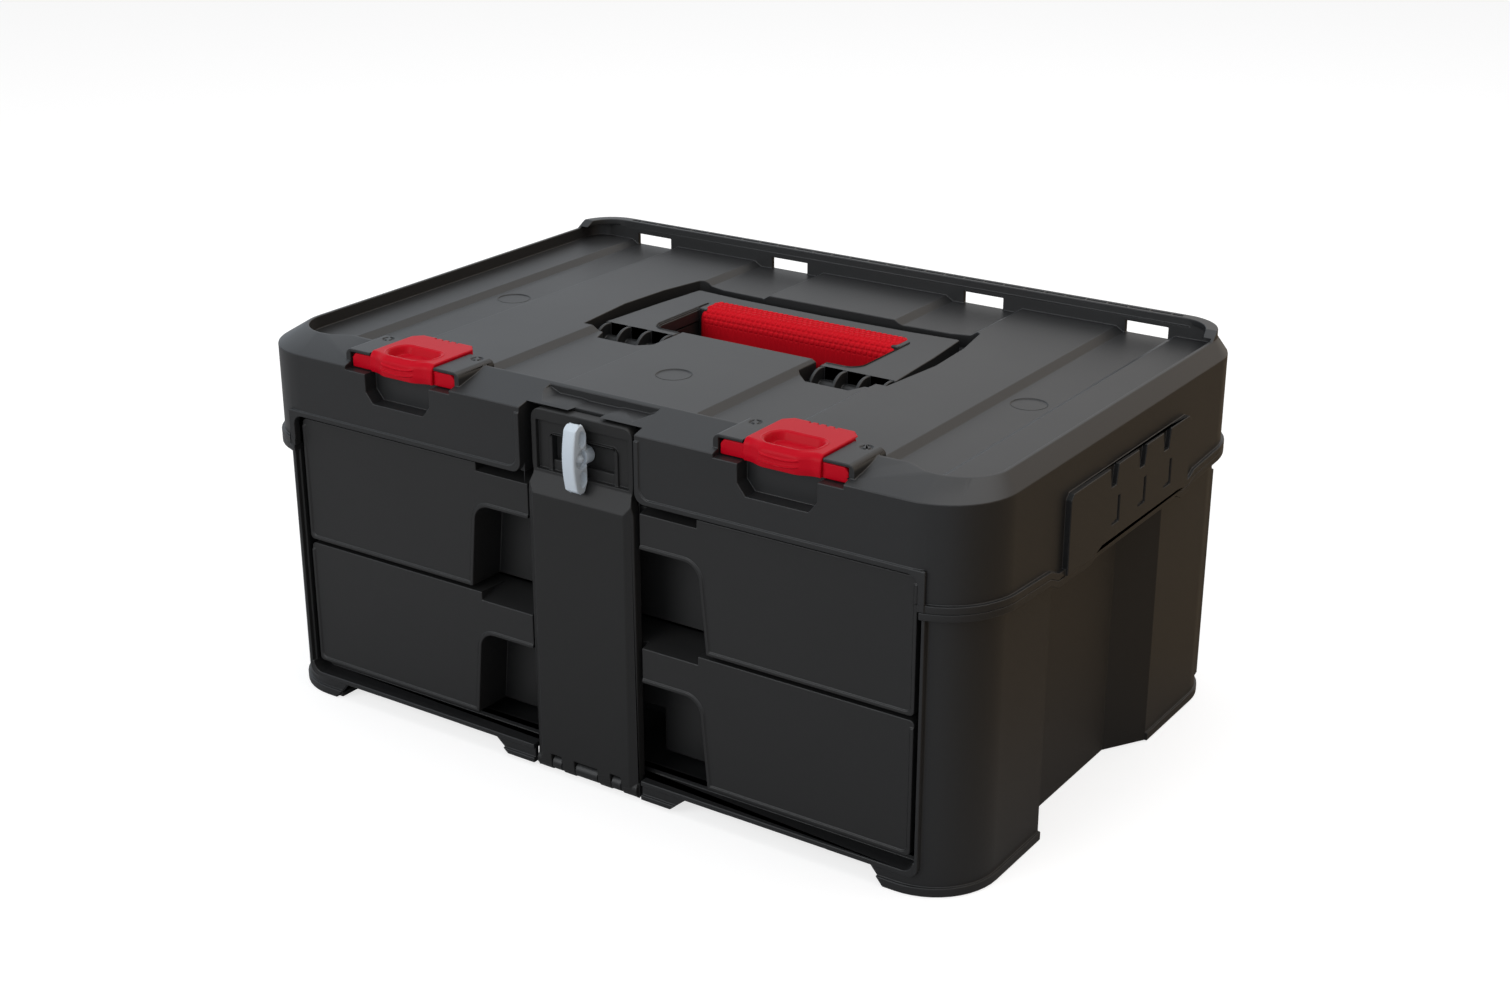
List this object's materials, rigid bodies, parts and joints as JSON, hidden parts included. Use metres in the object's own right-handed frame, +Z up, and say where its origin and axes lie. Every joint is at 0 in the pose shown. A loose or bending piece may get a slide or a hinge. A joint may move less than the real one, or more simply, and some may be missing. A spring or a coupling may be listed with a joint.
{
  "type": "portable tool box with drawers",
  "caption": "Stackable portable tool box with pull-out drawers behind a hinged front flap, turn knob, stacking latches and a folding carrying handle.",
  "frame": {"origin": "centre of the box's footprint, on the ground", "axes": "+Z up, -Y out of the front where the drawers open, +X to the right seen along +Y from the front"},
  "size_m": [0.484, 0.3325, 0.226],
  "materials": {
    "case_plastic": "fine-textured charcoal polypropylene",
    "flap_plastic": "fine-textured charcoal polypropylene",
    "drawer_front_plastic": "satin black polypropylene",
    "tray_plastic": "satin black polypropylene",
    "frame_plastic": "fine-textured charcoal polypropylene",
    "grip_rubber": "knurled soft red rubber",
    "latch_plastic": "semi-gloss red plastic",
    "knob_plastic": "satin light grey plastic",
    "cage_plastic": "plain black plastic",
    "slide_steel": "zinc plated",
    "ball_steel": "polished",
    "screw_steel": "zinc plated",
    "pin_steel": "drawn bright"
  },
  "bodies": {
    "case": {"lower_body": "case_plastic", "top_cover": "case_plastic", "cover_screws": "screw_steel", "flap_hinge_pin": "pin_steel", "handle_pins": "pin_steel", "upper_left_rail": "slide_steel", "upper_right_rail": "slide_steel", "lower_left_rail": "slide_steel", "lower_right_rail": "slide_steel", "rail_screws": "screw_steel"},
    "upper_drawer": {"upper_drawer_front": "drawer_front_plastic", "upper_drawer_tray": "tray_plastic", "upper_front_screws": "screw_steel", "upper_left_runner": "slide_steel", "upper_right_runner": "slide_steel", "upper_runner_screws": "screw_steel"},
    "lower_drawer": {"lower_drawer_front": "drawer_front_plastic", "lower_drawer_tray": "tray_plastic", "lower_front_screws": "screw_steel", "lower_left_runner": "slide_steel", "lower_right_runner": "slide_steel", "lower_runner_screws": "screw_steel"},
    "upper_left_cage": {"upper_left_ball_cage": "cage_plastic", "upper_left_balls": "ball_steel"},
    "upper_right_cage": {"upper_right_ball_cage": "cage_plastic", "upper_right_balls": "ball_steel"},
    "lower_left_cage": {"lower_left_ball_cage": "cage_plastic", "lower_left_balls": "ball_steel"},
    "lower_right_cage": {"lower_right_ball_cage": "cage_plastic", "lower_right_balls": "ball_steel"},
    "flap": {"front_flap": "flap_plastic"},
    "knob": {"lock_knob": "knob_plastic", "lock_cam": "slide_steel", "cam_screw": "screw_steel"},
    "left_stacking_latch": {"left_latch": "latch_plastic"},
    "right_stacking_latch": {"right_latch": "latch_plastic"},
    "handle": {"handle_frame": "frame_plastic", "handle_grip": "grip_rubber"}
  },
  "joints": [
    {"name": "upper_drawer_slide", "type": "slide", "parent": "case", "child": "upper_drawer", "axis": [0, -1, 0], "range_m": [0, 0.22]},
    {"name": "lower_drawer_slide", "type": "slide", "parent": "case", "child": "lower_drawer", "axis": [0, -1, 0], "range_m": [0, 0.22]},
    {"name": "flap_hinge", "type": "hinge", "parent": "case", "child": "flap", "pos_m": [0, -0.15475, 0.006], "axis": [1, 0, 0], "range_deg": [0, 179]},
    {"name": "upper_left_cage_roll", "type": "slide", "parent": "case", "child": "upper_left_cage", "axis": [0, -1, 0], "range_m": [0, 0.11]},
    {"name": "upper_right_cage_roll", "type": "slide", "parent": "case", "child": "upper_right_cage", "axis": [0, -1, 0], "range_m": [0, 0.11]},
    {"name": "lower_left_cage_roll", "type": "slide", "parent": "case", "child": "lower_left_cage", "axis": [0, -1, 0], "range_m": [0, 0.11]},
    {"name": "lower_right_cage_roll", "type": "slide", "parent": "case", "child": "lower_right_cage", "axis": [0, -1, 0], "range_m": [0, 0.11]},
    {"name": "knob_turn", "type": "hinge", "parent": "flap", "child": "knob", "pos_m": [0, -0.155, 0.1935], "axis": [0, 1, 0], "range_deg": [0, 90]},
    {"name": "left_latch_slide", "type": "slide", "parent": "case", "child": "left_stacking_latch", "axis": [0, -1, 0], "range_m": [0, 0.006], "stiffness_N_per_m": 600},
    {"name": "right_latch_slide", "type": "slide", "parent": "case", "child": "right_stacking_latch", "axis": [0, -1, 0], "range_m": [0, 0.006], "stiffness_N_per_m": 600},
    {"name": "handle_fold", "type": "hinge", "parent": "case", "child": "handle", "pos_m": [0, -0.00525, 0.1993], "axis": [1, 0, 0], "range_deg": [0, 90]}
  ],
  "couplings": [
    {"joint": "lower_drawer_slide", "follows": "upper_drawer_slide", "ratio": 1},
    {"joint": "flap_hinge", "follows": "upper_drawer_slide", "rad_per_m": 14.18},
    {"joint": "upper_left_cage_roll", "follows": "upper_drawer_slide", "ratio": 0.5},
    {"joint": "upper_right_cage_roll", "follows": "upper_drawer_slide", "ratio": 0.5},
    {"joint": "lower_left_cage_roll", "follows": "upper_drawer_slide", "ratio": 0.5},
    {"joint": "lower_right_cage_roll", "follows": "upper_drawer_slide", "ratio": 0.5}
  ]
}
